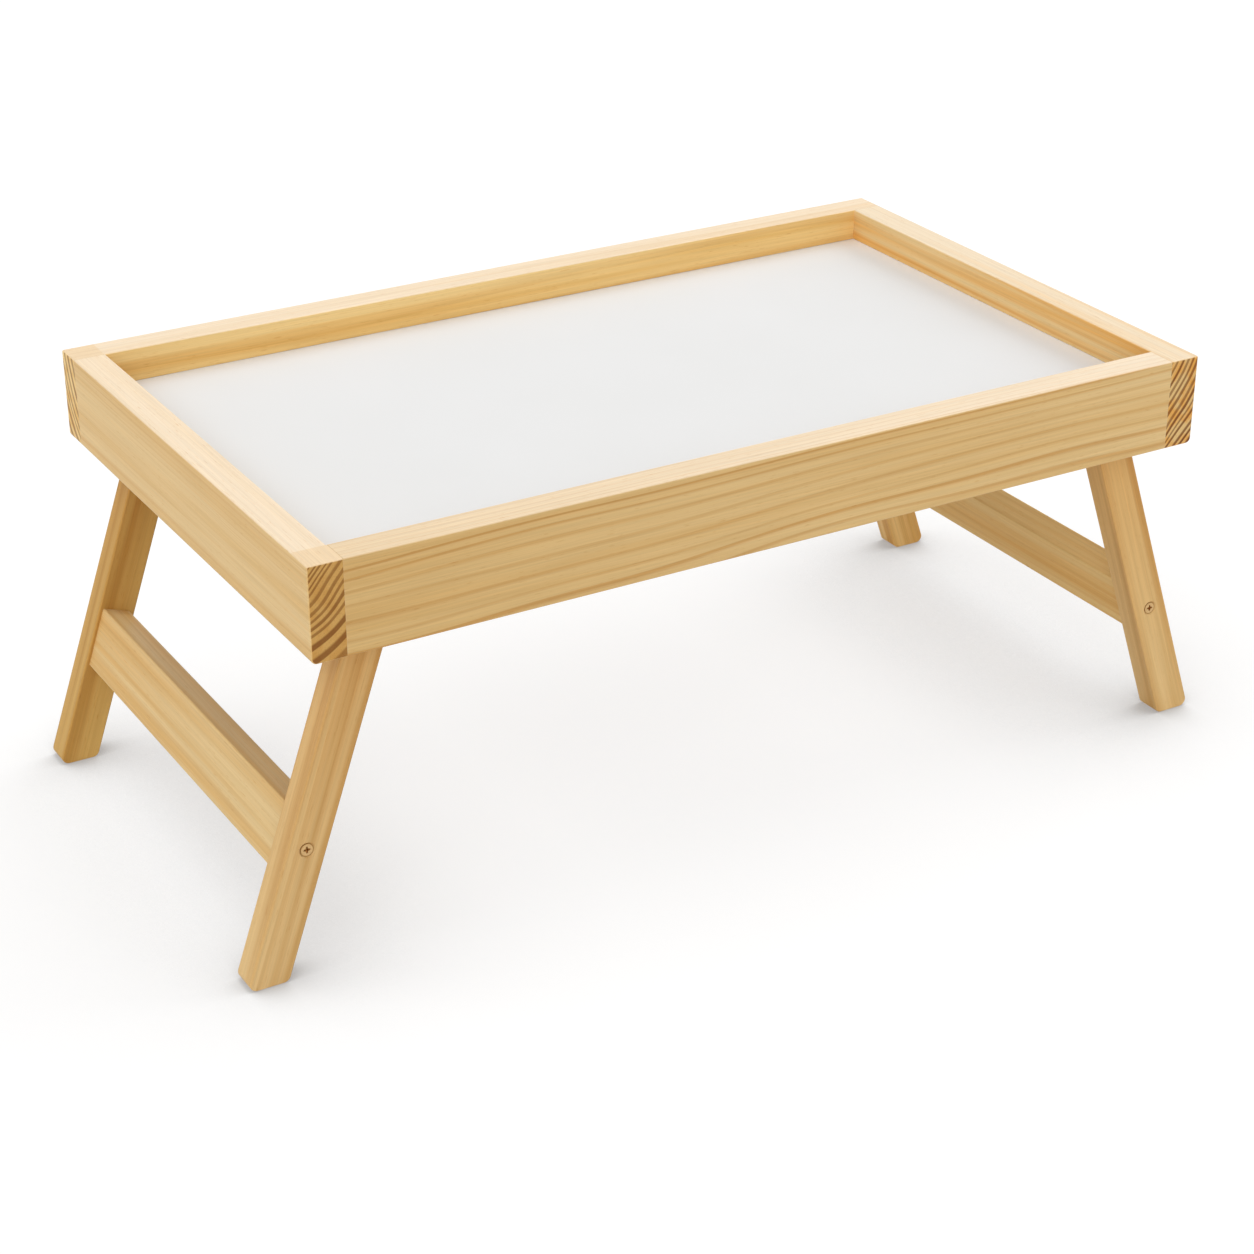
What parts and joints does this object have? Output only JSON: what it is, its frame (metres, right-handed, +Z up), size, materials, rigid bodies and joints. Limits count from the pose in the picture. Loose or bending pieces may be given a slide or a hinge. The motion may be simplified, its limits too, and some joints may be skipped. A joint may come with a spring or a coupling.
{
  "type": "bed tray table",
  "caption": "Pine bed tray with a sunken white panel and low rails, on folding splayed leg frames with stretchers that swing flat under the tray.",
  "frame": {"origin": "on the floor, under the middle of the tray", "axes": "+X along the tray to the right, -Y its front, +Z up"},
  "size_m": [0.5872, 0.315, 0.229],
  "materials": {
    "pine": "planed pine, clear satin lacquer",
    "leg_pine": "planed pine, clear satin lacquer, a little darker",
    "white_board": "hardboard faced with white melamine, satin",
    "beech": "turned beech, raw",
    "zinc_steel": "bright zinc plate",
    "yellow_zinc_steel": "yellow zinc plate"
  },
  "bodies": {
    "tray": {"back_left_corner_dowels": "beech", "back_rail": "pine", "back_right_corner_dowels": "beech", "front_left_corner_dowels": "beech", "front_rail": "pine", "front_right_corner_dowels": "beech", "left_back_head_washer": "zinc_steel", "left_back_pivot_screw": "zinc_steel", "left_back_spacer_washer": "zinc_steel", "left_front_head_washer": "zinc_steel", "left_front_pivot_screw": "zinc_steel", "left_front_spacer_washer": "zinc_steel", "left_rail": "pine", "left_stop_batten": "pine", "right_back_head_washer": "zinc_steel", "right_back_pivot_screw": "zinc_steel", "right_back_spacer_washer": "zinc_steel", "right_front_head_washer": "zinc_steel", "right_front_pivot_screw": "zinc_steel", "right_front_spacer_washer": "zinc_steel", "right_rail": "pine", "right_stop_batten": "pine", "tray_panel": "white_board"},
    "left_leg_frame": {"left_back_leg": "leg_pine", "left_back_leg_dowels": "beech", "left_back_stretcher_screw": "yellow_zinc_steel", "left_front_leg": "leg_pine", "left_front_leg_dowels": "beech", "left_front_stretcher_screw": "yellow_zinc_steel", "left_stretcher": "leg_pine"},
    "right_leg_frame": {"right_back_leg": "leg_pine", "right_back_leg_dowels": "beech", "right_back_stretcher_screw": "yellow_zinc_steel", "right_front_leg": "leg_pine", "right_front_leg_dowels": "beech", "right_front_stretcher_screw": "yellow_zinc_steel", "right_stretcher": "leg_pine"}
  },
  "joints": [
    {"name": "left_legs_fold", "type": "hinge", "parent": "tray", "child": "left_leg_frame", "pos_m": [-0.21769, 0, 0.1928], "axis": [0, -1, 0], "range_deg": [0, 109]},
    {"name": "right_legs_fold", "type": "hinge", "parent": "tray", "child": "right_leg_frame", "pos_m": [0.21769, 0, 0.1928], "axis": [0, 1, 0], "range_deg": [0, 109]}
  ]
}
